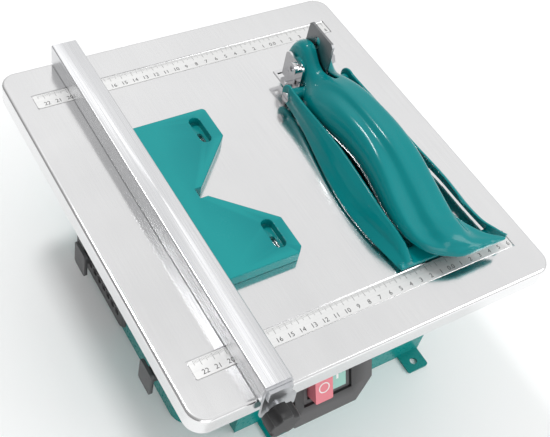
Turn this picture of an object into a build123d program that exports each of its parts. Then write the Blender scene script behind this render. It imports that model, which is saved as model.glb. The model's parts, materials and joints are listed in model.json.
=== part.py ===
"""Table-top wet tile cutter, 180 mm blade, 330 x 360 mm table.

Working axes while modelling: X to the right with X = 0 on the blade plane,
Y to the back, Z up with Z = 0 on the table top.  Every node is moved to the
row's frame on export: origin on the bench, under the centre of the table.
"""
import math
import os

from build123d import *

os.makedirs("parts", exist_ok=True)

# ------------------------------------------------------------- dimensions
TABLE_W, TABLE_D = 330.0, 360.0        # table size, X and Y
TABLE_H = 170.0                        # table top above the bench
SHEET = 2.0                            # table sheet
FLANGE = 17.0                          # depth of the turned-down edge
CX, CY = -82.5, 143.5                  # table centre
TX0, TX1 = CX - TABLE_W / 2, CX + TABLE_W / 2
TY0, TY1 = CY - TABLE_D / 2, CY + TABLE_D / 2

BLADE_R, BLADE_BORE_R, BLADE_T = 90.0, 11.1, 2.2
AX_Y, AX_Z = 115.0, -56.0              # arbor axis, runs along X

BX0, BX1, BY0, BY1 = -204.5, 39.5, 14.0, 273.0   # base footprint
WALL = 3.0
FENCE_X0, FENCE_X1 = -198.6, -176.2
FENCE_Y0, FENCE_Y1 = -39.5, 322.4
FENCE_Z0, FENCE_Z1 = 0.3, 20.5
GUIDE_X0, GUIDE_X1 = -175.9, -106.0
GUIDE_T = 9.8
KNOB_Z = -9.5
KNIFE_T = 2.2
BOLT_Y, BOLT_Z = 218.0, 28.0           # guard clamp bolt
PIV_Y, PIV_Z = 202.0, 13.0             # skirt pivot

TO_ROW = Location((-CX, -CY, TABLE_H))


def out(shape, node):
    if isinstance(shape, (list, ShapeList)):
        shape = Compound(children=list(shape))
    export_step(shape.moved(TO_ROW), f"parts/{node}.step")


def box(x0, x1, y0, y1, z0, z1):
    return Pos((x0 + x1) / 2, (y0 + y1) / 2, (z0 + z1) / 2) * Box(
        abs(x1 - x0), abs(y1 - y0), abs(z1 - z0))


def xcyl(r, x0, x1, y, z):
    return Pos((x0 + x1) / 2, y, z) * Rot(0, 90, 0) * Cylinder(r, abs(x1 - x0))


def ycyl(r, y0, y1, x, z):
    return Pos(x, (y0 + y1) / 2, z) * Rot(90, 0, 0) * Cylinder(r, abs(y1 - y0))


def zcyl(r, z0, z1, x, y):
    return Pos(x, y, (z0 + z1) / 2) * Cylinder(r, abs(z1 - z0))


def xy_prism(points, z0, z1):
    """Outline in X, Y between two heights."""
    f = make_face(Polyline(*[(a, b, z0) for a, b in points], close=True))
    return extrude(f, amount=z1 - z0, dir=(0, 0, 1))


def yz_prism(points, x0, x1):
    f = make_face(Polyline(*[(x0, a, b) for a, b in points], close=True))
    return extrude(f, amount=x1 - x0, dir=(1, 0, 0))


def xz_prism(points, y0, y1):
    f = make_face(Polyline(*[(a, y0, b) for a, b in points], close=True))
    return extrude(f, amount=y1 - y0, dir=(0, 1, 0))


def vert(shape):
    return shape.edges().filter_by(Axis.Z)


def try_fillet(shape, edges, r):
    try:
        return fillet(edges, r)
    except Exception:
        return shape


# ------------------------------------------------------------- table
outer = box(TX0, TX1, TY0, TY1, -FLANGE, 0)
outer = fillet(vert(outer), 15)
outer = fillet(outer.faces().sort_by(Axis.Z)[-1].edges(), 2.8)
inner = box(TX0 + 1.6, TX1 - 1.6, TY0 + 1.6, TY1 - 1.6, -FLANGE - 1, -SHEET)
inner = fillet(vert(inner), 13.4)
table = outer - inner
RULE_W = 15.0
RULE_X0, RULE_X1 = -229.0, 63.0
RULES_Y = (2.6, 283.0)
for ry in RULES_Y:
    pocket = box(RULE_X0 - 1, RULE_X1 + 1, ry - RULE_W / 2 - 1, ry + RULE_W / 2 + 1, -1.0, 2)
    table -= pocket
SLOT_Y0, SLOT_Y1 = 26.0, 241.0
slot = box(-4.2, 4.2, SLOT_Y0, SLOT_Y1, -6, 2)
slot = fillet(vert(slot), 4.0)
table -= slot
out(table, "table_top")

for name, ry in (("front_rule", RULES_Y[0]), ("rear_rule", RULES_Y[1])):
    strip = box(RULE_X0, RULE_X1, ry - RULE_W / 2, ry + RULE_W / 2, -1.0, -0.25)
    strip = fillet(vert(strip), 1.5)
    out(strip, name)

# ------------------------------------------------------------- base shell
foot = [(BX1, BY0), (BX1, BY1), (BX0, BY1), (BX0, 36), (-163, 36), (-163, BY0)]
BZ0, BZ1 = -TABLE_H + 0.0, -SHEET
shell = xy_prism(foot, BZ0, BZ1)


def near(x, y):
    return lambda e: abs(e.center().X - x) < 0.5 and abs(e.center().Y - y) < 0.5


shell = fillet(vert(shell).filter_by(near(BX0, BY1)), 30)
shell = fillet(vert(shell).filter_by(near(BX0, 36)), 19)
shell = fillet(vert(shell).filter_by(near(BX1, BY0)), 4)
shell = fillet(vert(shell).filter_by(near(BX1, BY1)), 8)
ifoot = [(BX1 - WALL, BY0 + WALL), (BX1 - WALL, BY1 - WALL), (BX0 + WALL, BY1 - WALL),
         (BX0 + WALL, 36 + WALL), (-163 + WALL, 36 + WALL), (-163 + WALL, BY0 + WALL)]
cavity = xy_prism(ifoot, BZ0 + 4, BZ1 + 1)
cavity = fillet(vert(cavity).filter_by(near(BX0 + WALL, BY1 - WALL)), 27)
cavity = fillet(vert(cavity).filter_by(near(BX0 + WALL, 36 + WALL)), 16)
shell = shell - cavity
# splash wall between the motor bay and the water bay
DIV_X = -34.0
shell += box(DIV_X - 2.5, DIV_X, BY0 + WALL, BY1 - WALL, BZ0 + 4, BZ1)
shell -= xcyl(17, DIV_X - 4, DIV_X + 2, AX_Y, AX_Z)
# bench tabs, two in front and two behind
TABS_X = (-129.0, 24.0)
TAB_HOLE_R = 3.6
for tx in TABS_X:
    for y0, y1, hy in ((BY0 - 19.5, BY0 + 1, 3.4), (BY1 - 1, BY1 + 19.5, 2 * CY - 3.4)):
        tab = box(tx - 11.2, tx + 11.2, y0, y1, BZ0, BZ0 + 2.4)
        free_y = y0 if y0 < BY0 else y1
        tab = fillet(vert(tab).filter_by(lambda e: abs(e.center().Y - free_y) < 0.5), 2.5)
        shell += tab
        shell -= zcyl(TAB_HOLE_R, BZ0 - 1, BZ0 + 4, tx, hy)
# grille window in the left wall, cable inlet in the back wall, switch opening
GR_Y0, GR_Y1, GR_Z0, GR_Z1 = 143.0, 246.0, -166.0, -60.0
shell -= box(BX0 - 2, BX0 + WALL + 1, GR_Y0 + 7, GR_Y1 - 7, GR_Z0 + 9, GR_Z1 - 7)
GL_X, GL_Z = -150.0, -120.0
shell -= ycyl(8.2, BY1 - WALL - 1, BY1 + 1, GL_X, GL_Z)
shell -= box(-140, -92, BY0 - 1, BY0 + WALL + 1, -84, -30)
# the housing is made up from flat walls and two rounded corners
ZW0, ZW1 = BZ0 + 4, 1.0
WALLS = {
    "housing_floor": (-300, 100, -50, 340, BZ0 - 1, ZW0),
    "housing_front_wall": (-163 + WALL, 100, -50, BY0 + WALL, ZW0, ZW1),
    "housing_front_corner": (-300, -163 + WALL, -50, 58, ZW0, ZW1),
    "housing_left_wall": (-300, -163 + WALL, 58, BY1 - 32, ZW0, ZW1),
    "housing_rear_corner": (-300, -163 + WALL, BY1 - 32, 340, ZW0, ZW1),
    "housing_rear_wall": (-163 + WALL, 100, BY1 - WALL, 340, ZW0, ZW1),
    "housing_right_wall": (BX1 - WALL, 100, BY0 + WALL, BY1 - WALL, ZW0, ZW1),
    "splash_wall": (DIV_X - 3.5, DIV_X + 1, BY0 + WALL, BY1 - WALL, ZW0, ZW1),
}
for name, b in WALLS.items():
    out(shell & box(*b), name)

# ------------------------------------------------------------- grille
gx0, gx1 = BX0 - 3.2, BX0
gr = box(gx0, gx1, GR_Y0, GR_Y1, GR_Z0, GR_Z1)
gr = fillet(gr.edges().filter_by(Axis.X), 9)
gr = chamfer(gr.faces().sort_by(Axis.X)[0].edges(), 2.2)
gr += box(gx1 - 0.1, gx1 + 2.0, GR_Y0 + 7.6, GR_Y1 - 7.6, GR_Z0 + 9.6, GR_Z1 - 7.6)
hexes = []
pitch_y, pitch_z = 9.4, 8.2
nrow = 10
for r in range(nrow):
    zc = GR_Z0 + 15.2 + r * pitch_z
    n = 9 if r % 2 == 0 else 8
    for c in range(n):
        yc = (GR_Y0 + GR_Y1) / 2 + (c - (n - 1) / 2) * pitch_y
        if abs(yc - 205.0) < 13 and abs(zc + 124.0) < 16:
            continue                                  # solid pad behind the cord hook
        hexes.append(Plane(origin=(gx0 - 1, yc, zc), x_dir=(0, 1, 0), z_dir=(1, 0, 0))
                     * RegularPolygon(4.25, 6, rotation=0))
cut = [extrude(h, amount=9, dir=(1, 0, 0)) for h in hexes]
gr = gr - cut
out(gr, "vent_grille")

# ------------------------------------------------------------- cord hooks
hooks = []
for hy in (73.0, 205.0):
    plate = box(-222.5, -219.5, hy - 10.5, hy + 10.5, -139, -110)
    plate = fillet(plate.edges().filter_by(Axis.X), 3)
    wall_x = BX0 if hy < 100 else BX0 - 3.2
    stem = box(-220, wall_x - 1.0, hy - 6, hy + 6, -128.5, -119.5)
    stem = fillet(stem.edges().filter_by(Axis.X), 2)
    pad = box(wall_x - 2.2, wall_x, hy - 9, hy + 9, -136, -112)
    hooks.append(plate + stem + pad)
out(hooks, "cord_hooks")

# ------------------------------------------------------------- switch box
FACE_Y0, FACE_Z0, FACE_K = -33.0, -91.0, 0.43   # bottom line and lean of the face


def face_y(z):
    return FACE_Y0 + FACE_K * (z - FACE_Z0)


sb = xz_prism([(-161, -20), (-161, -76), (-147, -92), (-88.5, -92), (-72.5, -76), (-72.5, -20)], -60, BY0)
sb = fillet(sb.edges().filter_by(Axis.Y), 1.5)
keep = yz_prism([(face_y(-16), -16), (face_y(-96), -96), (BY0, -96), (BY0, -16)], -170, -60)
sb = sb & keep
hollow = xz_prism([(-158, -23), (-158, -75), (-146, -89), (-90, -89), (-75.5, -75), (-75.5, -23)], -60, BY0 + 1)
hkeep = yz_prism([(face_y(-16) + 9.5, -16), (face_y(-96) + 9.5, -96), (BY0 + 1, -96), (BY0 + 1, -16)], -170, -60)
sb = sb - (hollow & hkeep)
nrm = Vector(0, -1, FACE_K).normalized()
upv = Vector(0, FACE_K, 1).normalized()
SW_Z = -58.0                                     # middle of the switch on the face
face_o = Vector(-115.0, face_y(SW_Z), SW_Z)


def face_plane(du=0.0, dv=0.0, dn=0.0):
    return Plane(origin=face_o + Vector(du, 0, 0) + upv * dv + nrm * dn,
                 x_dir=(1, 0, 0), z_dir=tuple(nrm))


def face_box(u0, u1, v0, v1, n0, n1):
    return face_plane((u0 + u1) / 2, (v0 + v1) / 2, (n0 + n1) / 2) * Box(u1 - u0, v1 - v0, n1 - n0)


sb -= face_box(-22.5, 22.5, -21.0, 17.0, -5.0, 5)      # pocket round the switch
sb -= face_box(-19.0, 19.0, -17.5, 14.5, -16.0, 1)     # opening for the switch body
for du in (-36.0, -31.5):
    sb -= face_box(du - 1.0, du + 1.0, -16, 12, -2.2, 2)   # moulded grooves beside the switch
out(sb, "switch_box")

bez = face_box(-21.9, 21.9, -20.4, 16.4, -4.9, -2.2) - face_box(-18.0, 18.0, -16.4, 13.4, -6, 0)
body = face_box(-18.6, 18.6, -17.1, 14.1, -26.0, -4.9) - face_box(-17.0, 17.0, -15.4, 12.4, -23.0, -4)
mid = face_box(-0.35, 0.35, -16.4, 13.4, -9.0, -2.2)
out(bez + body + mid, "switch_body")
stop = face_box(-16.7, -0.7, -15.1, 12.1, -9.0, 8.0)
stop = fillet(stop.edges().filter_by(lambda e: e.length < 17.2 and abs((e @ 0 - e @ 1).dot(nrm)) > 10), 1.2)
out(stop, "stop_button")
start = face_box(0.7, 16.7, -15.1, 12.1, -9.0, 0.4)
out(start, "start_button")

# ------------------------------------------------------------- cable inlet
gland = ycyl(8.0, BY1 - WALL - 0.5, BY1 + 0.4, GL_X, GL_Z) + ycyl(11.0, BY1, BY1 + 3.5, GL_X, GL_Z) \
    + Pos(GL_X, BY1 + 13, GL_Z) * Rot(-90, 0, 0) * Cone(8.5, 5.2, 20) + ycyl(10.5, BY1 - WALL - 3, BY1 - WALL, GL_X, GL_Z)
gland -= ycyl(3.6, BY1 - 20, BY1 + 40, GL_X, GL_Z)
out(gland, "cable_inlet")

# ------------------------------------------------------------- water tray
ty0, ty1, tx0, tx1 = BY0 + WALL + 0.6, BY1 - WALL - 0.6, DIV_X + 0.6, BX1 - WALL - 0.6
tray = box(tx0, tx1, ty0, ty1, BZ0 + 4.0, -112)
tray = fillet(vert(tray), 6)
tin = box(tx0 + 1.8, tx1 - 1.8, ty0 + 1.8, ty1 - 1.8, BZ0 + 5.8, -100)
tin = fillet(vert(tin), 4.2)
out(tray - tin, "water_tray")

# ------------------------------------------------------------- motor
MR = 47.0
case = xcyl(MR, -178, -52, AX_Y, AX_Z)
case = fillet(case.edges(), 5)
fins = []
for a in range(0, 360, 15):
    if 35 < a < 145:
        continue                                  # flat side under the table
    fins.append(Pos(-115, AX_Y, AX_Z) * Rot(a, 0, 0) * Pos(0, 0, 0) * Pos(0, MR + 1.0, 0) * Box(88, 6, 2.2))
for f in fins:
    case += f
case -= xcyl(41.5, -170, -60, AX_Y, AX_Z)
case -= xcyl(14.2, -179, -160, AX_Y, AX_Z)
case -= xcyl(14.2, -70, -51, AX_Y, AX_Z)
case -= xcyl(36, -179, -174, AX_Y, AX_Z) - xcyl(22, -179, -174, AX_Y, AX_Z)
out(case, "motor_casing")
stator = xcyl(41.3, -150, -84, AX_Y, AX_Z) - xcyl(24.4, -151, -83, AX_Y, AX_Z)
out(stator, "motor_stator")
bearings = []
for x0, x1 in ((-178, -170.2), (-59.8, -52)):
    bearings.append(xcyl(14.1, x0, x1, AX_Y, AX_Z) - xcyl(8.05, x0 - 1, x1 + 1, AX_Y, AX_Z))
out(bearings, "shaft_bearings")
shaft = xcyl(8.0, -191, -16, AX_Y, AX_Z) + xcyl(11.0, -24, -16, AX_Y, AX_Z) + xcyl(7.0, -16.5, 15, AX_Y, AX_Z)
rotor = xcyl(23.6, -148, -86, AX_Y, AX_Z)
shaft += rotor
out(shaft, "rotor_shaft")
fan = xcyl(12.5, -195, -182, AX_Y, AX_Z)
for a in range(0, 360, 45):
    fan += Pos(-189, AX_Y, AX_Z) * Rot(a, 0, 0) * Pos(0, 22, 0) * Box(11, 24, 1.8)
fan += xcyl(34, -183.4, -181.8, AX_Y, AX_Z)
fan -= xcyl(8.02, -192, -170, AX_Y, AX_Z)
out(fan, "cooling_fan")
fl = xcyl(26, -6.2, -1.15, AX_Y, AX_Z) + xcyl(16, -15.9, -6.0, AX_Y, AX_Z)
fl = chamfer(fl.faces().sort_by(Axis.X)[-1].edges(), 0.8)
fl -= xcyl(7.05, -17, 2, AX_Y, AX_Z)
out(fl, "inner_flange")
ofl = xcyl(26, 1.15, 4.6, AX_Y, AX_Z) + xcyl(BLADE_BORE_R - 0.05, -1.1, 1.2, AX_Y, AX_Z)
ofl -= xcyl(7.05, -2, 6, AX_Y, AX_Z)
out(ofl, "outer_flange")
nut = Plane(origin=(4.6, AX_Y, AX_Z), x_dir=(0, 1, 0), z_dir=(1, 0, 0)) * RegularPolygon(11.0, 6)
nut = extrude(nut, amount=8.0, dir=(1, 0, 0)) - xcyl(7.05, 4, 14, AX_Y, AX_Z)
out(nut, "arbor_nut")
core = xcyl(BLADE_R - 7, -0.8, 0.8, AX_Y, AX_Z) + (xcyl(BLADE_R, -1.1, 1.1, AX_Y, AX_Z) - xcyl(BLADE_R - 7.6, -2, 2, AX_Y, AX_Z))
core -= xcyl(BLADE_BORE_R, -3, 3, AX_Y, AX_Z)
out(core, "diamond_blade")

# motor mounting: foot under the casing, bolted to the splash wall
mb = box(DIV_X - 8.5, DIV_X - 2.5, AX_Y - 58, AX_Y + 128, -104, -8)
mb -= xcyl(17, DIV_X - 10, DIV_X, AX_Y, AX_Z)
mb = fillet(mb.edges().filter_by(Axis.X).filter_by(lambda e: e.center().Z < -90 or e.center().Z > -20), 8)
mb += xcyl(30, -52.0, DIV_X - 8.4, AX_Y, AX_Z) - xcyl(17, -60, DIV_X, AX_Y, AX_Z)
out(mb, "motor_bracket")
mbolts = []
for by, bz in ((AX_Y - 46, -92), (AX_Y + 46, -92), (AX_Y - 46, -22), (AX_Y + 46, -22)):
    b = xcyl(5.4, DIV_X, DIV_X + 4, by, bz)
    mbolts.append(b - Plane(origin=(DIV_X + 4, by, bz), x_dir=(0, 1, 0), z_dir=(1, 0, 0))
                  * extrude(RegularPolygon(2.6, 6), amount=-2.6))
out(mbolts, "motor_bolts")

# ------------------------------------------------------------- riving knife
def arc_pts(r, z0, z1, n):
    pts = []
    for i in range(n):
        z = z0 + (z1 - z0) * i / (n - 1)
        pts.append((AX_Y + math.sqrt(r * r - (z - AX_Z) ** 2), z))
    return pts


kp = [(199.5, 64), (230.5, 64), (232.7, 61.5), (235.5, -20), (238, -100), (212, -100)]
kp += arc_pts(97.0, -78, -14, 8)
kp += [(197.4, 4), (197.4, 62)]
knife = yz_prism(kp, -KNIFE_T / 2, KNIFE_T / 2)
KS0, KS1 = BOLT_Z - 4.2, 57.0
knife -= (xcyl(3.4, -3, 3, BOLT_Y, KS0 + 3.4) + xcyl(3.4, -3, 3, BOLT_Y, KS1 - 3.4)
          + box(-3, 3, BOLT_Y - 3.4, BOLT_Y + 3.4, KS0 + 3.4, KS1 - 3.4))
for hz in (-72, -90):
    knife -= xcyl(3.3, -3, 3, 224, hz)
out(knife, "riving_knife")
kb = box(DIV_X, -1.1, 214, 236, -99, -60) - box(DIV_X + 4, -5.1, 210, 240, -96, -57)
kb -= xcyl(3.3, -6, 0, 224, -72)
kb -= xcyl(3.3, -6, 0, 224, -90)
out(kb, "knife_bracket")
kbolts = []
for hz in (-72, -90):
    kbolts.append(xcyl(3.2, -9.0, 1.2, 224, hz) + xcyl(5.5, 1.1, 4.9, 224, hz)
                  + xcyl(5.6, -9.0, -5.1, 224, hz))
out(kbolts, "knife_bolts")

# ------------------------------------------------------------- guard hood
T = 2.4
# station y; points (x, z) from the left lower edge over the ridge to the right lower edge
HOOD = [
    (-5.0, [(14, 14.6), (14, 15.2), (15, 16.4), (18, 17.4), (23, 17.9), (29, 18.0), (35, 17.6), (39.5, 17.0), (42.5, 16.2), (44.5, 15.2), (44.5, 14.6)]),
    (-1.5, [(-3, 14.6), (-3.2, 16.0), (-1.5, 18.4), (3, 20.2), (9, 21.2), (18, 21.0), (28, 19.6), (36, 18.6), (42, 17.6), (46.6, 16.0), (46.8, 14.6)]),
    (3.0, [(-11, 14.6), (-11.6, 16.6), (-10, 19.8), (-6, 22.2), (0, 24.6), (8, 25.0), (17, 22.6), (26, 19.8), (33, 18.6), (39.3, 16.6), (39.6, 14.6)]),
    (9.0, [(-18.6, 14.6), (-19.6, 17.4), (-18, 21.4), (-13.6, 23.4), (-8, 27.2), (2, 28.6), (11, 26.6), (18, 22.4), (25, 19.6), (32.8, 17.0), (33.2, 14.6)]),
    (17.0, [(-24.2, 15.0), (-25.6, 18.4), (-24.2, 23.4), (-17, 24.2), (-10.2, 29.4), (0, 30.6), (10.2, 29.4), (15.0, 24.8), (19.6, 21.0), (27.2, 17.6), (27.8, 14.8)]),
    (28.0, [(-28.6, 15.6), (-30.2, 20.2), (-27.8, 27.2), (-16.8, 26.4), (-10.4, 31.4), (0, 32.2), (10.0, 31.2), (13.8, 27.0), (17.4, 22.6), (21.0, 19.0), (21.4, 15.4)]),
    (40.0, [(-30.4, 16.0), (-32.2, 21.6), (-28.6, 31.2), (-16.2, 30.0), (-10.2, 34.5), (0, 35.0), (9.8, 34.6), (13.4, 31.0), (16.4, 25.4), (19.0, 21.0), (20.0, 16.0)]),
    (55.0, [(-30.4, 16.0), (-32.0, 22.6), (-27.2, 36.0), (-15.8, 35.2), (-10.0, 39.5), (0, 40.2), (9.6, 39.6), (13.2, 36.0), (15.8, 29.0), (17.8, 22.6), (19.0, 16.0)]),
    (71.0, [(-28.0, 16.0), (-30.0, 23.6), (-24.0, 41.0), (-15.0, 41.2), (-10.0, 45.0), (0, 45.8), (9.6, 45.2), (13.0, 41.6), (15.4, 33.4), (17.4, 24.4), (18.4, 16.0)]),
    (90.0, [(-24.4, 16.0), (-27.4, 24.6), (-20.6, 45.4), (-14.0, 46.0), (-9.8, 49.8), (0, 50.6), (9.4, 49.8), (12.8, 46.0), (15.2, 37.0), (17.2, 26.0), (18.2, 16.0)]),
    (112.0, [(-22.2, 16.0), (-25.6, 25.2), (-18.0, 47.0), (-13.2, 48.2), (-9.8, 51.2), (0, 52.2), (9.4, 51.2), (12.7, 48.2), (15.6, 39.0), (17.6, 27.0), (18.6, 16.0)]),
    (135.0, [(-23.4, 16.0), (-26.2, 25.4), (-17.2, 47.0), (-12.6, 47.4), (-9.4, 50.4), (0, 51.6), (9.2, 50.4), (12.5, 47.0), (16.0, 38.5), (19.0, 27.0), (20.2, 16.0)]),
    (155.0, [(-25.4, 15.6), (-27.2, 24.6), (-17.4, 43.6), (-12.2, 45.2), (-9.0, 48.2), (0, 49.4), (9.0, 48.0), (12.4, 44.2), (16.4, 36.2), (21.0, 25.0), (22.0, 15.6)]),
    (172.0, [(-25.4, 13.6), (-26.4, 21.6), (-18.6, 36.6), (-12.0, 41.0), (-8.6, 44.0), (0, 45.2), (8.6, 43.8), (12.0, 39.6), (16.4, 31.6), (21.0, 21.4), (22.0, 13.6)]),
    (187.0, [(-23.4, 10.0), (-24.4, 17.4), (-19.4, 28.4), (-12.4, 35.0), (-8.4, 38.0), (0, 39.2), (8.4, 37.8), (12.0, 33.2), (15.8, 26.0), (19.4, 17.0), (20.0, 10.0)]),
    (199.0, [(-17.6, 8.0), (-18.4, 14.8), (-15.8, 25.0), (-12.0, 31.6), (-8.4, 34.4), (0, 35.4), (8.4, 34.2), (12.0, 30.6), (14.6, 24.0), (16.6, 14.5), (16.4, 8.0)]),
    (208.0, [(-13.8, 7.4), (-14.2, 17.0), (-13.8, 28.6), (-12.2, 34.8), (-9.0, 38.0), (0, 38.8), (9.0, 38.0), (12.2, 34.8), (13.4, 28.6), (13.6, 17.0), (13.4, 7.4)]),
    (217.0, [(-13.3, 7.4), (-13.8, 20.0), (-13.4, 36.0), (-12.2, 42.8), (-9.6, 46.2), (0, 47.0), (9.6, 46.2), (12.2, 42.8), (13.0, 36.0), (13.3, 20.0), (13.0, 7.4)]),
    (226.0, [(-13.0, 8.0), (-13.6, 19.5), (-13.1, 37.0), (-12.0, 43.8), (-9.4, 47.0), (0, 47.8), (9.4, 47.0), (12.0, 43.8), (12.8, 37.0), (13.1, 19.5), (12.8, 8.0)]),
    (235.0, [(-12.6, 9.0), (-13.1, 18.0), (-12.3, 32.0), (-11.2, 38.0), (-8.8, 41.2), (0, 42.0), (8.8, 41.2), (11.2, 38.0), (12.2, 32.0), (12.8, 18.0), (12.5, 9.0)]),
    (241.0, [(-11.4, 10.5), (-11.8, 16.0), (-10.8, 24.0), (-9.7, 28.0), (-7.6, 30.6), (0, 31.2), (7.6, 30.6), (9.7, 28.0), (10.8, 24.0), (11.6, 16.0), (11.3, 10.5)]),
    (245.5, [(-8.4, 13.0), (-8.5, 15.0), (-7.8, 17.4), (-7.0, 18.8), (-5.6, 19.8), (0, 20.2), (5.6, 19.8), (7.0, 18.8), (7.8, 17.4), (8.4, 15.0), (8.3, 13.0)]),
]


def inset(pts, t):
    """Move an open outline inwards by t, normal to itself."""
    res = []
    n = len(pts)
    for i, (x, z) in enumerate(pts):
        x0, z0 = pts[max(i - 1, 0)]
        x1, z1 = pts[min(i + 1, n - 1)]
        dx, dz = x1 - x0, z1 - z0
        m = math.hypot(dx, dz)
        res.append((x + t * dz / m, z - t * dx / m))
    res[0] = (pts[0][0] + t, pts[0][1] - 0.02)
    res[-1] = (pts[-1][0] - t, pts[-1][1] - 0.02)
    return res


def hood_wire(y, pts, drop=0.0):
    p3 = [(a, y, b) for a, b in pts]
    s = Spline(*p3)
    if drop:
        zl = min(p3[0][2], p3[-1][2]) - drop
        q0, q1 = (p3[0][0], y, zl), (p3[-1][0], y, zl)
        return Wire([s, Line(p3[-1], q1), Line(q1, q0), Line(q0, p3[0])])
    return Wire([s, Line(p3[-1], p3[0])])


hood_o = Solid.make_loft([hood_wire(y, pts) for y, pts in HOOD], False)
inner_wires = []
for k, (y, pts) in enumerate(HOOD):
    if k == 0:
        continue                                  # the lip is solid in front
    yk = {1: 0.9, len(HOOD) - 1: 243.0}.get(k, y)
    inner_wires.append(hood_wire(yk, inset(pts, 2.2 if k < 3 else T), drop=8.0))
hood_i = Solid.make_loft(inner_wires, False)
hood = Part() + hood_o
hood = hood - hood_i
# slot in the top of the neck for the knife
hood -= box(-1.9, 1.9, 183.0, 238.5, 30, 80)
hood -= box(-1.9, 1.9, 236.0, 250, 4, 60)
# side bosses that carry the skirt, closed by a cross web each side of the knife
for s in (-1, 1):
    boss = xcyl(5.6, s * 3.2, s * 29.6, PIV_Y, PIV_Z)
    cheek = box(min(s * 3.2, s * 11.8), max(s * 3.2, s * 11.8), BOLT_Y - 8, BOLT_Y + 9, BOLT_Z - 12, BOLT_Z + 7)
    hood += boss
    hood += cheek
    hood += xcyl(8.0, s * 3.2, -15.0 if s < 0 else 13.8, BOLT_Y, BOLT_Z)
    hood -= xcyl(2.1, s * 16, s * 32, PIV_Y, PIV_Z)
hood -= xcyl(3.15, -30, 30, BOLT_Y, BOLT_Z)
hood -= box(-20, -10, 203.5, 206.5, 14, 19)
out(hood, "guard_hood")

# chrome clamp bracket, clamp bolt and screw
br = box(-17.0, -15.0, 208.6, 236, 9.5, 34) + box(-27.0, -15.0, 208.6, 236, 9.5, 11.5)
br = fillet(br.edges().filter_by(Axis.X).filter_by(lambda e: e.center().Z > 30), 5)
br -= xcyl(3.15, -20, -10, BOLT_Y, BOLT_Z)
br -= zcyl(2.25, 5, 14, -22.0, 217)
br -= box(-25, -19.5, 226.5, 232.5, 5, 14)
out(br, "guard_clamp_bracket")
cb = xcyl(3.05, -19.0, 20.8, BOLT_Y, BOLT_Z) + xcyl(5.6, -22.0, -17.05, BOLT_Y, BOLT_Z)
cb -= Plane(origin=(-22.0, BOLT_Y, BOLT_Z), x_dir=(0, 1, 0), z_dir=(1, 0, 0)) * extrude(RegularPolygon(2.9, 6), amount=3)
out(cb, "guard_clamp_bolt")
nutx = Plane(origin=(15.4, BOLT_Y, BOLT_Z), x_dir=(0, 1, 0), z_dir=(1, 0, 0)) * extrude(RegularPolygon(5.8, 6), amount=5)
nutx += xcyl(7.0, 13.85, 15.5, BOLT_Y, BOLT_Z)
nutx -= xcyl(3.09, 10, 25, BOLT_Y, BOLT_Z)
out(nutx, "guard_clamp_nut")
ls = zcyl(4.4, 11.55, 14.6, -22.0, 217) + zcyl(2.15, 4.0, 11.6, -22.0, 217)
ls -= box(-27, -17, 216.5, 217.5, 13.6, 15)
out(ls, "guard_stop_screw")

# ------------------------------------------------------------- guard skirt
TS = 2.2
# y, x top, z top, x crease, z crease, x foot, z foot
SK_LEFT = [
    (12.0, 33.0, 9.0, 37.6, 6.6, 42.8, 2.6),
    (18.0, 33.2, 12.6, 38.2, 8.2, 43.8, 2.6),
    (27.0, 34.0, 17.0, 38.8, 9.4, 45.2, 2.6),
    (38.0, 36.2, 21.6, 40.6, 10.2, 47.0, 2.6),
    (52.0, 37.6, 24.2, 43.2, 10.4, 48.6, 2.6),
    (72.0, 36.8, 25.8, 45.6, 9.6, 49.4, 2.6),
    (95.0, 34.8, 26.2, 45.2, 8.8, 48.4, 2.6),
    (120.0, 33.2, 26.0, 42.2, 8.8, 45.0, 2.6),
    (146.0, 32.6, 25.0, 38.0, 9.0, 40.0, 2.6),
    (170.0, 32.2, 23.2, 34.6, 9.4, 35.4, 2.6),
    (188.0, 32.1, 22.6, 33.0, 10.0, 33.0, 2.6),
    (203.0, 32.1, 22.4, 32.3, 11.0, 32.3, 2.8),
]
SK_RIGHT = [
    (-0.5, 53.2, 14.8, 54.4, 11.4, 55.0, 8.0),
    (5.0, 49.4, 15.0, 51.8, 9.8, 53.4, 4.8),
    (12.0, 45.6, 15.6, 48.8, 8.8, 51.0, 2.6),
    (18.0, 43.2, 15.2, 47.2, 9.0, 50.4, 2.6),
    (27.0, 40.6, 16.2, 45.2, 9.6, 49.8, 2.6),
    (38.0, 38.6, 17.8, 44.4, 10.2, 49.2, 2.6),
    (52.0, 37.8, 19.8, 44.4, 10.4, 48.8, 2.6),
    (72.0, 36.8, 21.6, 45.4, 9.6, 48.6, 2.6),
    (95.0, 34.8, 22.6, 44.2, 8.8, 47.0, 2.6),
    (120.0, 33.2, 23.6, 41.2, 8.8, 43.6, 2.6),
    (146.0, 32.6, 23.8, 37.4, 9.0, 39.0, 2.6),
    (170.0, 32.2, 23.2, 34.4, 9.4, 35.0, 2.6),
    (188.0, 32.1, 22.6, 33.0, 10.0, 33.0, 2.6),
    (203.0, 32.1, 22.4, 32.3, 11.0, 32.3, 2.8),
]


def skirt_side(s, table):
    wires = []
    for (y, xt, zt, xc, zc, xf, zf) in table:
        o = [(xt, zt), ((2 * xt + xc) / 3 + 0.8, (2 * zt + zc) / 3 + 0.4), ((xt + 2 * xc) / 3 + 0.8, (zt + 2 * zc) / 3 + 0.2),
             (xc, zc), (xf, zf)]
        i = [(xf - TS * 1.3, zf), (xc - TS, zc + 0.5), ((xt + 2 * xc) / 3 + 0.7 - TS, (zt + 2 * zc) / 3 + 0.2),
             ((2 * xt + xc) / 3 + 0.7 - TS, (2 * zt + zc) / 3 + 0.4), (xt - TS, zt)]
        wires.append(Wire.make_polygon([(s * p, y, q) for p, q in o + i], close=True))
    return Solid.make_loft(wires, False)


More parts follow.
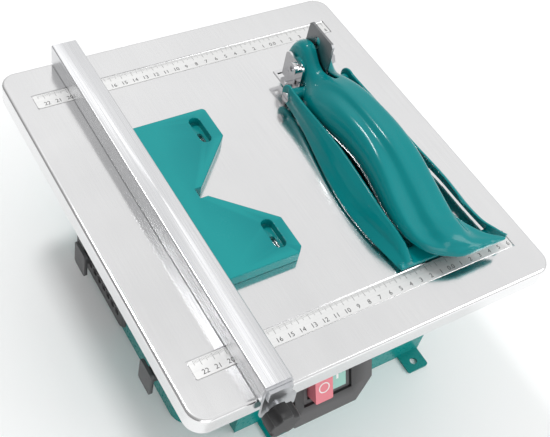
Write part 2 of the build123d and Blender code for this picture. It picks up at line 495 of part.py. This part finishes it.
skirt = Part() + skirt_side(-1, SK_LEFT)
skirt = skirt + skirt_side(1, SK_RIGHT)
ramp_pts = [(10.4, 2.6), (13.8, 2.6), (25.0, 6.4), (25.0, 8.6), (22.6, 8.6), (10.4, 4.9)]
skirt = skirt + yz_prism(ramp_pts, -33.4, 33.4)
for s in (-1, 1):
    xf = 42.2 if s < 0 else 50.0
    a0, a1 = sorted((s * 30.0, s * xf))
    skirt = skirt + yz_prism([(10.4, 2.6), (14.0, 2.6), (16.4, 5.2), (14.0, 7.0), (10.4, 4.9)], a0, a1)
    b0, b1 = sorted((s * 29.9, s * 32.2))
    ear = xcyl(10.2, b0, b1, PIV_Y, PIV_Z) + box(b0, b1, 184, PIV_Y, PIV_Z - 10.0, PIV_Z + 9.2)
    skirt = skirt + ear
    skirt -= xcyl(2.13, s * 28, s * 34, PIV_Y, PIV_Z)
skirt -= box(30, 52, 41, 49, 8.6, 15.6)
out(skirt, "guard_skirt")
sc = []
for s in (-1, 1):
    a = xcyl(2.05, s * 17, s * 33.6, PIV_Y, PIV_Z) + xcyl(4.6, s * 33.3, s * 35.6, PIV_Y, PIV_Z)
    a = a - box(min(s * 34.7, s * 36.0), max(s * 34.7, s * 36.0), PIV_Y - 5, PIV_Y + 5, PIV_Z - 0.5, PIV_Z + 0.5)
    sc.append(a)
out(sc, "skirt_pivot_screws")

# ------------------------------------------------------------- rip fence
fx0, fx1 = FENCE_X0, FENCE_X1
tube = box(fx0, fx1, FENCE_Y0, FENCE_Y1, FENCE_Z0, FENCE_Z1)
tube = fillet(tube.edges().filter_by(Axis.Y), 1.4)
tube -= box(fx0 + 1.5, fx1 - 1.5, FENCE_Y0 + 1.5, FENCE_Y1 + 5, FENCE_Z0 + 1.5, FENCE_Z1 - 1.5)
out(tube, "fence_tube")
fp = [(fx0 + 0.6, 19.6), (fx1 - 0.6, 19.6), (fx1 - 0.6, 5.5), (-169.2, -4.6), (-168.6, -17.5),
      (-170.6, -19.5), (-195.5, -19.5), (-197.2, -17.5), (fx0 + 0.6, 3)]
fb = xz_prism(fp, FENCE_Y0 - 2.0, FENCE_Y0)
fb += box(fx0 + 2.0, fx1 - 2.0, FENCE_Y0 - 5.0, FENCE_Y0 - 1.9, 7.6, 18.8)
KX = (fx0 + fx1) / 2
fb += ycyl(6.0, FENCE_Y0 - 4.2, FENCE_Y0 - 1.9, KX, KNOB_Z)
fb -= ycyl(3.2, FENCE_Y0 - 6, FENCE_Y0 + 1, KX, KNOB_Z)
out(fb, "fence_front_bracket")
rh = box(fx0 + 2, fx1 - 2, FENCE_Y1 - 14, FENCE_Y1 + 3.4, 1.85, 3.6) + box(fx0 + 2, fx1 - 2, FENCE_Y1 + 2.0, FENCE_Y1 + 3.9, -15, 3.6)
rh = fillet(rh.edges().filter_by(Axis.Y).filter_by(lambda e: e.center().Z < -10), 4)
out(rh, "fence_rear_hook")
knob = ycyl(12.6, -58.5, -46.0, KX, KNOB_Z)
for k in range(5):
    a = math.radians(90 + 72 * k + 36)
    knob -= ycyl(4.4, -60, -45, KX + 14.6 * math.cos(a), KNOB_Z + 14.6 * math.sin(a))
knob = try_fillet(knob, knob.faces().sort_by(Axis.Y)[0].edges(), 1.0)
knob += ycyl(7.5, -46.1, -44.2, KX, KNOB_Z)
knob -= ycyl(3.0, -53, -43, KX, KNOB_Z)
out(knob, "fence_knob")
bolt = ycyl(2.95, -52.5, TY0 - 1.6, KX, KNOB_Z)
bolt += ycyl(5.0, TY0 - 2.4, TY0 - 0.5, KX, KNOB_Z)
out(bolt, "fence_clamp_bolt")

# ------------------------------------------------------------- mitre guide
gp = [(GUIDE_X0, 218.6), (-106.0, 218.6), (-106.0, 184.4), (-111.6, 178.6), (-149.2, 141.2),
      (-155.2, 141.2), (-155.2, 131.4), (-148.6, 131.4), (-106.0, 90.0), (-106.0, 59.2), (-110.6, 54.0), (GUIDE_X0, 54.0)]
guide = xy_prism(gp, 0.3, 0.3 + GUIDE_T)
guide = fillet(vert(guide).filter_by(near(-106.0, 218.6)), 3.5)
guide = fillet(vert(guide).filter_by(lambda e: e.center().X > -116 and not (216 < e.center().Y)), 1.4)
guide = fillet(guide.faces().sort_by(Axis.Z)[-1].edges(), 0.6)
# hollow underside
SLOTS = ((-121.2, 196.8), (-120.0, 78.4))
for sx, sy in SLOTS:
    well = box(sx - 5.0, sx + 5.0, sy - 14.5, sy + 14.5, 3.2, 12)
    well = fillet(vert(well), 4.9)
    guide -= well
    thr = box(sx - 2.4, sx + 2.4, sy - 10.0, sy + 2.0, -1, 6)
    thr = fillet(vert(thr), 2.3)
    guide -= thr
out(guide, "mitre_guide")
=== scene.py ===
import json
import math

import bmesh
import bpy
from mathutils import Matrix, Vector


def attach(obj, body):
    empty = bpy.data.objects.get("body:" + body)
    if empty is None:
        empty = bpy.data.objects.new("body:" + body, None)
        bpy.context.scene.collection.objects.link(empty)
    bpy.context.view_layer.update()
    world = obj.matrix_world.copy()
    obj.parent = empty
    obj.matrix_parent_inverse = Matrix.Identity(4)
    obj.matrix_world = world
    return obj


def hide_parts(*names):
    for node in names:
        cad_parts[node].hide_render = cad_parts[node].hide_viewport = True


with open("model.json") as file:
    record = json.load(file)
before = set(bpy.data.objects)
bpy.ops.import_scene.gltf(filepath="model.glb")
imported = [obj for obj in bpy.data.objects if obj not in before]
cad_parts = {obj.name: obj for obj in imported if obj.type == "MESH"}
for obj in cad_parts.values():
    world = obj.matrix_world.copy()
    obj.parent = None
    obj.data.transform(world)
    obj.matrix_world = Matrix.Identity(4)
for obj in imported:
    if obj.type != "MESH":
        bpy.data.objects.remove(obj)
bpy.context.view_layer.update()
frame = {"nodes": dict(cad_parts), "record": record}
NODES = frame["nodes"]

# working coordinates of the CAD source in mm -> row frame in metres
OFF = Vector((82.5, -143.5, 170.0))


def R(x, y, z):
    return (Vector((x, y, z)) + OFF) / 1000.0


def lin(c):
    """sRGB 0-255 to linear."""
    res = []
    for v in c:
        v = v / 255.0
        res.append(v / 12.92 if v <= 0.04045 else ((v + 0.055) / 1.055) ** 2.4)
    return (*res, 1.0)


# ------------------------------------------------------------ materials
class Mat:
    def __init__(self, name):
        self.m = bpy.data.materials.new(name)
        self.m.use_nodes = True
        self.t = self.m.node_tree
        self.b = self.t.nodes["Principled BSDF"]
        self.pos = self.new("ShaderNodeTexCoord").outputs["Object"]

    def new(self, kind, **kw):
        n = self.t.nodes.new(kind)
        for k, v in kw.items():
            setattr(n, k, v)
        return n

    def link(self, a, b):
        self.t.links.new(a, b)

    def set(self, **kw):
        names = {"metal": "Metallic", "rough": "Roughness", "spec": "Specular IOR Level", "coat": "Coat Weight",
                 "coat_rough": "Coat Roughness", "aniso": "Anisotropic", "sss": "Subsurface Weight", "ior": "IOR",
                 "color": "Base Color", "sss_scale": "Subsurface Scale"}
        for k, v in kw.items():
            self.b.inputs[names[k]].default_value = v

    def mapped(self, scale=(1, 1, 1), rot=(0, 0, 0)):
        mp = self.new("ShaderNodeMapping")
        mp.inputs["Scale"].default_value = scale
        mp.inputs["Rotation"].default_value = rot
        self.link(self.pos, mp.inputs["Vector"])
        return mp.outputs["Vector"]

    def noise(self, scale, detail=3.0, rough=0.5, vec=None, distortion=0.0):
        n = self.new("ShaderNodeTexNoise")
        n.inputs["Scale"].default_value = scale
        n.inputs["Detail"].default_value = detail
        n.inputs["Roughness"].default_value = rough
        n.inputs["Distortion"].default_value = distortion
        self.link(vec if vec is not None else self.pos, n.inputs["Vector"])
        return n.outputs["Fac"]

    def rng(self, v, f0, f1, t0, t1):
        n = self.new("ShaderNodeMapRange")
        n.inputs["From Min"].default_value = f0
        n.inputs["From Max"].default_value = f1
        n.inputs["To Min"].default_value = t0
        n.inputs["To Max"].default_value = t1
        self.link(v, n.inputs["Value"])
        return n.outputs["Result"]

    def mix(self, fac, a, b):
        n = self.new("ShaderNodeMix", data_type="RGBA")
        if isinstance(fac, float):
            n.inputs[0].default_value = fac
        else:
            self.link(fac, n.inputs[0])
        for sock, v in ((n.inputs[6], a), (n.inputs[7], b)):
            if isinstance(v, tuple):
                sock.default_value = v
            else:
                self.link(v, sock)
        return n.outputs[2]

    def math(self, op, a, b=None):
        n = self.new("ShaderNodeMath", operation=op)
        for s, v in zip(n.inputs, (a, b)):
            if v is None:
                continue
            if isinstance(v, (int, float)):
                s.default_value = v
            else:
                self.link(v, s)
        return n.outputs[0]

    def colour(self, v):
        self.link(v, self.b.inputs["Base Color"])

    def rough(self, v):
        self.link(v, self.b.inputs["Roughness"])

    def bump(self, *layers, soft=0.0):
        """layers of (height, distance in metres); soft is a rounding radius for the shaded edges"""
        prev = None
        if soft:
            bev = self.new("ShaderNodeBevel")
            bev.samples = 6
            bev.inputs["Radius"].default_value = soft
            prev = bev.outputs["Normal"]
        for h, d in layers:
            n = self.new("ShaderNodeBump")
            n.inputs["Strength"].default_value = 1.0
            n.inputs["Distance"].default_value = d
            self.link(h, n.inputs["Height"])
            if prev is not None:
                self.link(prev, n.inputs["Normal"])
            prev = n.outputs["Normal"]
        self.link(prev, self.b.inputs["Normal"])

    def edges(self, lo=0.515, hi=0.56):
        """0..1 on convex edges, from the mesh's own pointiness; the mask for the painted edge highlights"""
        g = self.new("ShaderNodeNewGeometry")
        return self.rng(g.outputs["Pointiness"], lo, hi, 0.0, 1.0)


def m_stainless():
    m = Mat("polished_stainless")
    m.set(metal=1.0, aniso=0.35)
    cloud = m.noise(9.0, 4.0, 0.55)
    streak = m.noise(1.0, 3.0, 0.6, m.mapped((1400.0, 14.0, 1400.0)))
    wipe = m.noise(1.0, 2.0, 0.5, m.mapped((60.0, 6.0, 60.0), (0, 0, 0.35)))
    c = m.mix(cloud, lin((226, 226, 227)), lin((239, 239, 239)))
    c = m.mix(m.rng(streak, 0.35, 0.75, 0.0, 0.10), c, lin((186, 187, 190)))
    m.colour(c)
    r = m.math("ADD", m.rng(cloud, 0.3, 0.75, 0.085, 0.15), m.rng(wipe, 0.35, 0.75, 0.0, 0.06))
    m.rough(m.math("ADD", r, m.rng(streak, 0.4, 0.8, 0.0, 0.06)))
    m.bump((cloud, 0.00028), (streak, 0.0000035))
    return m.m


def m_fence():
    m = Mat("satin_steel_tube")
    m.set(metal=1.0, aniso=0.5)
    cloud = m.noise(12.0, 3.0, 0.5)
    streak = m.noise(1.0, 4.0, 0.6, m.mapped((1600.0, 9.0, 1600.0)))
    c = m.mix(streak, lin((208, 209, 211)), lin((236, 236, 237)))
    m.colour(m.mix(m.rng(cloud, 0.4, 0.7, 0.0, 0.25), c, lin((196, 197, 200))))
    m.rough(m.math("ADD", m.rng(streak, 0.3, 0.75, 0.20, 0.34), m.rng(cloud, 0.3, 0.7, 0.0, 0.05)))
    m.bump((cloud, 0.00015), (streak, 0.000006))
    return m.m


def m_rule():
    m = Mat("rule_strip")
    m.set(metal=0.55)
    streak = m.noise(1.0, 3.0, 0.6, m.mapped((10.0, 900.0, 900.0)))
    cloud = m.noise(30.0, 3.0, 0.5)
    m.colour(m.mix(streak, lin((214, 214, 214)), lin((232, 232, 231))))
    m.rough(m.math("ADD", m.rng(cloud, 0.3, 0.7, 0.30, 0.40), m.rng(streak, 0.3, 0.7, 0.0, 0.05)))
    m.bump((streak, 0.000006))
    return m.m


def m_teal(name="teal_plastic", a=(0, 122, 126), b=(0, 132, 134), edge_highlight=(40, 170, 168), rough=(0.17, 0.26), grain=0.00001):
    m = Mat(name)
    m.set(spec=0.16, coat=0.22, coat_rough=0.12)
    cloud = m.noise(22.0, 3.0, 0.5)
    fine = m.noise(900.0, 2.0, 0.5)
    swirl = m.noise(7.0, 3.0, 0.55, None, 0.6)
    c = m.mix(cloud, lin(a), lin(b))
    c = m.mix(m.rng(swirl, 0.55, 0.8, 0.0, 0.18), c, lin((0, 108, 114)))
    # painted highlight: convex edges and crests lightened towards a pale teal
    c = m.mix(m.math("MULTIPLY", m.edges(), 0.30), c, lin(edge_highlight))
    m.colour(c)
    m.rough(m.math("ADD", m.rng(cloud, 0.3, 0.7, rough[0], rough[1]), m.rng(fine, 0.3, 0.7, 0.0, 0.03)))
    m.bump((cloud, 0.00006), (fine, grain), soft=0.0014)
    return m.m


def m_teal_paint():
    m = Mat("teal_paint")
    m.set(spec=0.18, coat=0.16, coat_rough=0.18)
    cloud = m.noise(18.0, 3.0, 0.5)
    peel = m.noise(420.0, 2.0, 0.5)
    c = m.mix(cloud, lin((0, 126, 122)), lin((0, 138, 134)))
    m.colour(c)
    m.rough(m.rng(peel, 0.3, 0.7, 0.24, 0.36))
    m.bump((cloud, 0.00005), (peel, 0.00004))
    return m.m


def m_dark(name="dark_plastic", a=(52, 52, 53), b=(66, 66, 67), rough=(0.42, 0.58), grain=0.00006, scale=1100.0, edge_highlight=0.35):
    m = Mat(name)
    m.set(spec=0.45)
    cloud = m.noise(25.0, 3.0, 0.5)
    g = m.new("ShaderNodeTexVoronoi")
    g.inputs["Scale"].default_value = scale
    m.link(m.pos, g.inputs["Vector"])
    grain_h = g.outputs["Distance"]
    c = m.mix(cloud, lin(a), lin(b))
    # painted highlight: convex edges lightened towards light grey, by the given strength
    c = m.mix(m.math("MULTIPLY", m.edges(), edge_highlight), c, lin((120, 120, 121)))
    m.colour(c)
    m.rough(m.math("ADD", m.rng(cloud, 0.3, 0.7, rough[0], rough[1]), m.rng(grain_h, 0.0, 0.7, 0.0, 0.05)))
    m.bump((grain_h, grain))
    return m.m


def m_gloss(name, a, b, edge_highlight):
    m = Mat(name)
    m.set(spec=0.5, coat=0.2, coat_rough=0.15, sss=0.06, sss_scale=0.002)
    cloud = m.noise(60.0, 3.0, 0.5)
    fine = m.noise(1500.0, 2.0, 0.5)
    c = m.mix(cloud, lin(a), lin(b))
    # painted highlight: convex edges lightened towards the given pale tint
    c = m.mix(m.math("MULTIPLY", m.edges(), 0.55), c, lin(edge_highlight))
    m.colour(c)
    m.rough(m.rng(cloud, 0.3, 0.7, 0.26, 0.36))
    m.bump((fine, 0.000012))
    return m.m


def m_ink(name, col):
    m = Mat(name)
    m.set(spec=0.4)
    fine = m.noise(1800.0, 2.0, 0.5)
    m.colour(m.mix(m.rng(fine, 0.35, 0.75, 0.0, 0.5), lin(col), lin(tuple(min(255, v + 26) for v in col))))
    m.rough(m.rng(fine, 0.3, 0.7, 0.42, 0.6))
    m.bump((fine, 0.000008))
    return m.m


def m_metal(name, a, b, rough, streak_scale=(500.0, 500.0, 500.0), aniso=0.0, spots=0.0, bump=0.00001):
    m = Mat(name)
    m.set(metal=1.0, aniso=aniso)
    cloud = m.noise(40.0, 4.0, 0.55)
    streak = m.noise(1.0, 3.0, 0.6, m.mapped(streak_scale))
    c = m.mix(cloud, lin(a), lin(b))
    if spots:
        vor = m.new("ShaderNodeTexVoronoi")
        vor.inputs["Scale"].default_value = 130.0
        m.link(m.pos, vor.inputs["Vector"])
        c = m.mix(m.rng(vor.outputs["Distance"], 0.1, 0.8, 0.0, spots), c, lin((150, 153, 158)))
    m.colour(c)
    m.rough(m.math("ADD", m.rng(cloud, 0.3, 0.75, rough[0], rough[1]), m.rng(streak, 0.35, 0.75, 0.0, 0.07)))
    m.bump((cloud, 0.00003), (streak, bump))
    return m.m


def m_blade():
    m = Mat("diamond_blade")
    m.set(metal=1.0)
    p = m.mapped((1, 1, 1))
    sep = m.new("ShaderNodeSeparateXYZ")
    m.link(p, sep.inputs[0])
    cy, cz = (115.0 + OFF.y) / 1000.0, (-56.0 + OFF.z) / 1000.0
    dy, dz = m.math("SUBTRACT", sep.outputs[1], cy), m.math("SUBTRACT", sep.outputs[2], cz)
    rad = m.math("SQRT", m.math("ADD", m.math("MULTIPLY", dy, dy), m.math("MULTIPLY", dz, dz)))
    ring = m.new("ShaderNodeTexNoise")
    ring.noise_dimensions = "1D"
    ring.inputs["Scale"].default_value = 2600.0
    m.link(rad, ring.inputs["W"])
    grit = m.noise(2600.0, 2.0, 0.6)
    rim = m.rng(rad, 0.0822, 0.0826, 0.0, 1.0)
    c = m.mix(ring.outputs["Fac"], lin((150, 152, 156)), lin((186, 188, 191)))
    c = m.mix(rim, c, m.mix(grit, lin((92, 88, 80)), lin((150, 143, 128))))
    m.colour(c)
    m.rough(m.math("ADD", m.rng(ring.outputs["Fac"], 0.3, 0.7, 0.22, 0.32), m.math("MULTIPLY", rim, 0.35)))
    m.bump((ring.outputs["Fac"], 0.000004), (m.math("MULTIPLY", rim, grit), 0.00012))
    return m.m


M = {
    "stainless": m_stainless(),
    "rule_plate": m_rule(),
    "teal_plastic": m_teal(),
    "teal_paint": m_teal_paint(),
    "dark_plastic": m_dark(),
    # the last colour of each is the painted edge highlight
    "red_plastic": m_gloss("red_plastic", (178, 44, 66), (190, 56, 76), (235, 150, 160)),
    "green_plastic": m_gloss("green_plastic", (84, 152, 138), (98, 164, 150), (170, 210, 200)),
    "chrome": m_metal("bright_chrome", (214, 214, 216), (236, 236, 237), (0.06, 0.13)),
    "galvanised": m_metal("zinc_steel", (176, 178, 181), (205, 206, 208), (0.26, 0.38), spots=0.25),
    "fence_steel": m_fence(),
    "knife_steel": m_metal("ground_knife_steel", (128, 129, 131), (150, 151, 153), (0.26, 0.36), (900.0, 900.0, 16.0), 0.4),
    "cast_aluminium": m_metal("cast_aluminium", (168, 170, 173), (192, 193, 195), (0.42, 0.55), bump=0.00006),
    "iron_core": m_metal("laminated_core", (86, 78, 74), (104, 96, 90), (0.45, 0.6), (4000.0, 4.0, 4.0), bump=0.00008),
    "blade_steel": m_blade(),
    # the last number of each call is the strength of the painted edge highlight
    "black_rubber": m_dark("black_rubber", (30, 30, 31), (40, 40, 41), (0.6, 0.75), 0.00003, 1600.0, 0.2),
    "tray_plastic": m_dark("tray_plastic", (38, 40, 42), (48, 50, 52), (0.35, 0.5), 0.00004, 900.0, 0.3),
}
INK = m_ink("rule_ink", (38, 38, 40))
WHITE = m_ink("white_print", (222, 222, 220))
# the last number is the strength of the painted edge highlight on the knob
KNOB = m_dark("knob_black", (34, 34, 35), (46, 46, 47), (0.34, 0.46), 0.00003, 1300.0, 0.45)

slot_of = {s["node"]: s["material_slot"] for s in frame["record"]["subparts"]}
for n, o in NODES.items():
    mat = M[slot_of[n]]
    if n == "fence_knob":
        mat = KNOB
    if not o.material_slots:
        o.data.materials.append(mat)
    for s in o.material_slots:
        s.material = mat


# ------------------------------------------------------------ moulded pieces with soft edges
BODY_OF = {n: b for b, ns in frame["record"]["behaviour"]["bodies"].items() for n in ns}


def moulded(node, voxel, rounds, factor=0.5, bores=()):
    """A fine, softly rounded skin of a CAD node, for pieces moulded in one shot."""
    src = NODES[node]
    bm = bmesh.new()
    bm.from_mesh(src.data)
    bmesh.ops.remove_doubles(bm, verts=bm.verts, dist=2e-6)
    me = bpy.data.meshes.new(node + "_raw")
    bm.to_mesh(me)
    bm.free()
    o = bpy.data.objects.new(node + "_raw", me)
    bpy.context.scene.collection.objects.link(o)
    rm = o.modifiers.new("remesh", "REMESH")
    rm.mode = "VOXEL"
    rm.voxel_size = voxel
    sm = o.modifiers.new("smooth", "SMOOTH")
    sm.factor = factor
    sm.iterations = rounds
    bpy.context.view_layer.update()
    out = bpy.data.meshes.new_from_object(o.evaluated_get(bpy.context.evaluated_depsgraph_get()))
    bpy.data.objects.remove(o)
    out.name = node + "_moulded"
    for y, z, radius in bores:                    # keep the bolt holes at their full size
        c = R(0, y, z)
        for v in out.vertices:
            dy, dz = v.co.y - c.y, v.co.z - c.z
            dist = math.hypot(dy, dz)
            if 1e-6 < dist < radius / 1000.0:
                v.co.y = c.y + dy * radius / 1000.0 / dist
                v.co.z = c.z + dz * radius / 1000.0 / dist
    for p in out.polygons:
        p.use_smooth = True
    new = bpy.data.objects.new(node + "_moulded", out)
    bpy.context.scene.collection.objects.link(new)
    out.materials.clear()
    out.materials.append(M[slot_of[node]] if node != "fence_knob" else KNOB)
    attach(new, BODY_OF[node])
    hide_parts(node)
    return new


moulded("guard_hood", 0.00048, 18, bores=((218.0, 28.0, 3.3),))
moulded("guard_skirt", 0.00045, 14)
moulded("fence_knob", 0.00035, 5)


# ------------------------------------------------------------ helpers for added pieces
def obj_from_bm(bm, name, mat, body, smooth=False):
    me = bpy.data.meshes.new(name)
    bm.to_mesh(me)
    bm.free()
    o = bpy.data.objects.new(name, me)
    bpy.context.scene.collection.objects.link(o)
    me.materials.append(mat)
    if smooth:
        for p in me.polygons:
            p.use_smooth = True
    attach(o, body)
    return o


def bm_prism(bm, pts, z0, z1):
    """closed prism from an outline in x, y (metres)"""
    lo = [bm.verts.new((x, y, z0)) for x, y in pts]
    hi = [bm.verts.new((x, y, z1)) for x, y in pts]
    bm.faces.new(list(reversed(lo)))
    bm.faces.new(hi)
    n = len(pts)
    for i in range(n):
        j = (i + 1) % n
        bm.faces.new((lo[i], lo[j], hi[j], hi[i]))


def text_mesh(body, size, depth):
    cu = bpy.data.curves.new("txt", "FONT")
    cu.body = body
    cu.size = size
    cu.align_x = "CENTER"
    cu.align_y = "BOTTOM_BASELINE"
    cu.extrude = depth
    cu.resolution_u = 3
    o = bpy.data.objects.new("txt", cu)
    bpy.context.scene.collection.objects.link(o)
    bpy.context.view_layer.update()
    me = bpy.data.meshes.new_from_object(o.evaluated_get(bpy.context.evaluated_depsgraph_get()))
    bpy.data.objects.remove(o)
    bpy.data.curves.remove(cu)
    return me


# ------------------------------------------------------------ rule markings
def rule_marks(name, y_mid):
    bm = bmesh.new()
    top = R(0, 0, -0.25).z
    z0, z1 = top + 0.000004, top + 0.00003
    y_back = y_mid + 7.1
    for i in range(-225, 62):
        cm, half = i % 10 == 0, i % 5 == 0
        length = 5.4 if cm else (3.9 if half else 2.4)
        w = 0.26 if cm else (0.2 if half else 0.14)
        x = i * 1.0
        a, b = R(x - w / 2, y_back - length, 0), R(x + w / 2, y_back, 0)
        bm_prism(bm, [(a.x, a.y), (b.x, a.y), (b.x, b.y), (a.x, b.y)], z0, z1)
    for k in range(-22, 7):
        s = "0.0" if k == 0 else str(abs(k))
        me = text_mesh(s, 0.0056, 0.000013)
        tb = bmesh.new()
        tb.from_mesh(me)
        bmesh.ops.remove_doubles(tb, verts=tb.verts, dist=1e-7)
        p = R(k * 10.0, y_mid - 5.6, 0)
        bmesh.ops.transform(tb, matrix=Matrix.Translation((p.x, p.y, (z0 + z1) / 2)), verts=tb.verts)
        tmp = bpy.data.meshes.new("t")
        tb.to_mesh(tmp)
        tb.free()
        bm.from_mesh(tmp)
        bpy.data.meshes.remove(tmp)
        bpy.data.meshes.remove(me)
    return obj_from_bm(bm, name, INK, "base")


rule_marks("front_rule_marks", 2.6)
rule_marks("rear_rule_marks", 283.0)

# ------------------------------------------------------------ switch marks, on the leaning button faces
K = 0.43
nrm = Vector((0, -1, K)).normalized()
upv = Vector((0, K, 1)).normalized()
face_o = Vector((-115.0, -33.0 + K * (-58.0 + 91.0), -58.0))


def face_pt(u, v, n):
    return R(*(face_o + Vector((u, 0, 0)) + upv * v + nrm * n))


def ring(name, u, v, n, r0, r1, body, slot, seg=48, sx=1.0):
    bm = bmesh.new()
    rows = []
    for rr, h in ((r0, n), (r0, n + 0.12), (r1, n + 0.12), (r1, n)):
        rows.append([bm.verts.new(face_pt(u + rr * math.cos(2 * math.pi * i / seg) * sx,
                                          v + rr * math.sin(2 * math.pi * i / seg), h)) for i in range(seg)])
    for a in range(4):
        p, q = rows[a], rows[(a + 1) % 4]
        for i in range(seg):
            j = (i + 1) % seg
            bm.faces.new((p[i], p[j], q[j], q[i]))
    bmesh.ops.recalc_face_normals(bm, faces=bm.faces)
    return obj_from_bm(bm, name, WHITE, body)


def bar(name, u0, u1, v0, v1, n, body):
    bm = bmesh.new()
    pts = [(u0, v0), (u1, v0), (u1, v1), (u0, v1)]
    lo = [bm.verts.new(face_pt(a, b, n)) for a, b in pts]
    hi = [bm.verts.new(face_pt(a, b, n + 0.12)) for a, b in pts]
    bm.faces.new(list(reversed(lo)))
    bm.faces.new(hi)
    for i in range(4):
        j = (i + 1) % 4
        bm.faces.new((lo[i], lo[j], hi[j], hi[i]))
    bmesh.ops.recalc_face_normals(bm, faces=bm.faces)
    return obj_from_bm(bm, name, WHITE, body)


ring("stop_mark", -8.7, -1.5, 8.0, 4.0, 4.9, "stop_key", "red_plastic")
bar("start_mark", 7.7, 9.7, -6.0, 3.0, 0.4, "start_key")

# ------------------------------------------------------------ floor, world, light, camera
bm = bmesh.new()
s = 6.0
vs = [bm.verts.new(p) for p in ((-s, -s, -0.0004), (s, -s, -0.0004), (s, s, -0.0004), (-s, s, -0.0004))]
bm.faces.new(vs)
me = bpy.data.meshes.new("floor")
bm.to_mesh(me)
bm.free()
floor = bpy.data.objects.new("floor", me)
bpy.context.scene.collection.objects.link(floor)
fm = bpy.data.materials.new("studio_floor")
fm.use_nodes = True
fb = fm.node_tree.nodes["Principled BSDF"]
fb.inputs["Base Color"].default_value = (0.97, 0.97, 0.97, 1)
fb.inputs["Roughness"].default_value = 0.7
me.materials.append(fm)

bpy.context.scene.view_settings.view_transform = "Standard"
world = bpy.data.worlds.new("studio")
bpy.context.scene.world = world
world.use_nodes = True
wt = world.node_tree
bg = wt.nodes["Background"]
tc = wt.nodes.new("ShaderNodeTexCoord")
sp = wt.nodes.new("ShaderNodeSeparateXYZ")
wt.links.new(tc.outputs["Generated"], sp.inputs[0])
ramp = wt.nodes.new("ShaderNodeValToRGB")
ramp.color_ramp.elements[0].position = 0.0
ramp.color_ramp.elements[0].color = (0.85, 0.85, 0.85, 1)
ramp.color_ramp.elements[1].position = 1.0
ramp.color_ramp.elements[1].color = (1.0, 1.0, 1.0, 1)
for p, v in ((0.08, 0.90), (0.30, 0.72), (0.50, 0.88), (0.68, 0.98), (0.84, 0.86)):
    e = ramp.color_ramp.elements.new(p)
    e.color = (v, v, v, 1)
wt.links.new(sp.outputs[2], ramp.inputs[0])
side = wt.nodes.new("ShaderNodeMapRange")
side.interpolation_type = "SMOOTHSTEP"
side.inputs["From Min"].default_value = -0.75
side.inputs["From Max"].default_value = 0.25
side.inputs["To Min"].default_value = 0.44
side.inputs["To Max"].default_value = 1.0
wt.links.new(sp.outputs[0], side.inputs["Value"])
mul = wt.nodes.new("ShaderNodeMixRGB")
mul.blend_type = "MULTIPLY"
mul.inputs[0].default_value = 1.0
wt.links.new(ramp.outputs[0], mul.inputs[1])
wt.links.new(side.outputs[0], mul.inputs[2])
wt.links.new(mul.outputs[0], bg.inputs[0])
bg.inputs[1].default_value = 1.0


def area(name, loc, target, size, power, size_y=None):
    ld = bpy.data.lights.new(name, "AREA")
    ld.energy = power
    ld.shape = "RECTANGLE"
    ld.size = size
    ld.size_y = size_y or size
    o = bpy.data.objects.new(name, ld)
    bpy.context.scene.collection.objects.link(o)
    o.location = loc
    d = Vector(target) - Vector(loc)
    o.rotation_euler = d.to_track_quat("-Z", "Y").to_euler()
    return o


area("key", (-0.25, 0.85, 1.9), (0.05, 0, 0.17), 0.35, 14.0, 0.22)
area("fill", (1.2, -0.9, 1.3), (0, 0, 0.12), 0.8, 8.0)
area("front", (-0.5, -1.5, 0.6), (0, 0, 0.10), 0.9, 6.0)

az, el, roll = math.radians(-41.99), math.radians(49.46), math.radians(14.69)
d = Vector((math.sin(az) * math.cos(el), -math.cos(az) * math.cos(el), math.sin(el)))
r = (-d).cross(Vector((0, 0, 1))).normalized()
u = r.cross(-d).normalized()
r2 = math.cos(roll) * r + math.sin(roll) * u
u2 = -math.sin(roll) * r + math.cos(roll) * u
cd = bpy.data.cameras.new("camera")
cd.sensor_fit = "HORIZONTAL"
cd.sensor_width = 36.0
cd.lens = 959.2 / 550.0 * 36.0
cd.clip_start = 0.02
cam = bpy.data.objects.new("camera", cd)
bpy.context.scene.collection.objects.link(cam)
cam.matrix_world = Matrix(((r2.x, u2.x, d.x, -0.3528), (r2.y, u2.y, d.y, -0.4129), (r2.z, u2.z, d.z, 0.7461), (0, 0, 0, 1)))
bpy.context.scene.camera = cam
